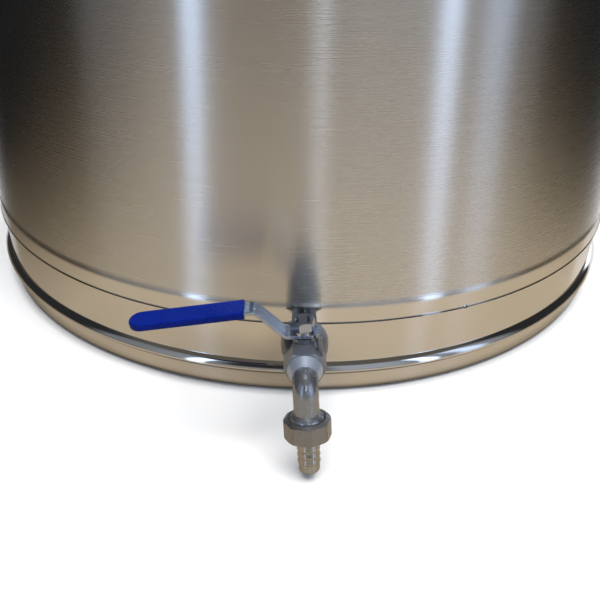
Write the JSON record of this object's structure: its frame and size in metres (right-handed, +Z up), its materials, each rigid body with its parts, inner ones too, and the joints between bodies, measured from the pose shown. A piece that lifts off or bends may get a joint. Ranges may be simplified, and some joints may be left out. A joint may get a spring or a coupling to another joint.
{
  "type": "stainless steel tank with ball tap",
  "caption": "Round stainless steel tank with a lift-off lid, drop handles, a polished skirt and a lever ball tap whose bent spout ends in a hose tail, for holding and drawing off liquids.",
  "frame": {"origin": "centre of the foot ring, on the floor", "axes": "+Z up along the tank's axis, -Y towards the tap, +X to the right when facing the tap"},
  "size_m": [0.5848, 0.6557, 0.719],
  "materials": {
    "wall_steel": "brushed round the tank",
    "polished_steel": "mirror polished",
    "sheet_steel": "satin sheet",
    "rod_steel": "drawn rod, satin",
    "tap_steel": "cast and turned stainless steel",
    "tube_steel": "polished tube and turned fittings",
    "lever_steel": "pressed stainless strip",
    "grip_vinyl": "glossy dipped vinyl sleeve",
    "seal_white": "white fluoroplastic",
    "seal_rubber": "black rubber"
  },
  "bodies": {
    "tank": {"tank_shell": "wall_steel", "rim_wire": "rod_steel", "base_skirt": "polished_steel", "tank_bottom": "sheet_steel", "outlet_socket": "tube_steel", "inlet_washer": "seal_white", "valve_body": "tap_steel", "seat_rear": "seal_white", "seat_front": "seal_white", "stem_washer": "seal_white", "stem_packing": "seal_white", "gland_ring": "tube_steel", "spout_adapter": "tap_steel", "spout_tube": "tube_steel", "union_washer": "seal_rubber", "hose_tail": "tube_steel", "handle_plate_right": "sheet_steel", "handle_plate_left": "sheet_steel"},
    "lever": {"lever": "lever_steel", "lever_grip": "grip_vinyl", "lever_washer": "tube_steel", "lever_nut": "tube_steel", "valve_stem": "tube_steel", "valve_ball": "polished_steel"},
    "union_nut": {"union_nut": "tap_steel"},
    "lid": {"lid": "sheet_steel", "lid_handle": "sheet_steel", "lid_rivets": "rod_steel"},
    "handle_right": {"handle_bail_right": "rod_steel"},
    "handle_left": {"handle_bail_left": "rod_steel"}
  },
  "joints": [
    {"name": "lever_turn", "type": "hinge", "parent": "tank", "child": "lever", "pos_m": [0, -0.3168, 0.064], "axis": [-0.0663, 0, 0.9978], "range_deg": [0, 90]},
    {"name": "union_nut_spin", "type": "hinge", "parent": "tank", "child": "union_nut", "pos_m": [0, -0.349, 0.064], "axis": [-0.0655, 0.1564, 0.9855], "continuous": true},
    {"name": "lid_lift", "type": "slide", "parent": "tank", "child": "lid", "axis": [0, 0, 1], "range_m": [0, 0.15]},
    {"name": "handle_right_swing", "type": "hinge", "parent": "tank", "child": "handle_right", "pos_m": [0.2842, 0, 0.53], "axis": [0, -1, 0], "range_deg": [0, 180]},
    {"name": "handle_left_swing", "type": "hinge", "parent": "tank", "child": "handle_left", "pos_m": [-0.2842, 0, 0.53], "axis": [0, 1, 0], "range_deg": [0, 180]}
  ]
}
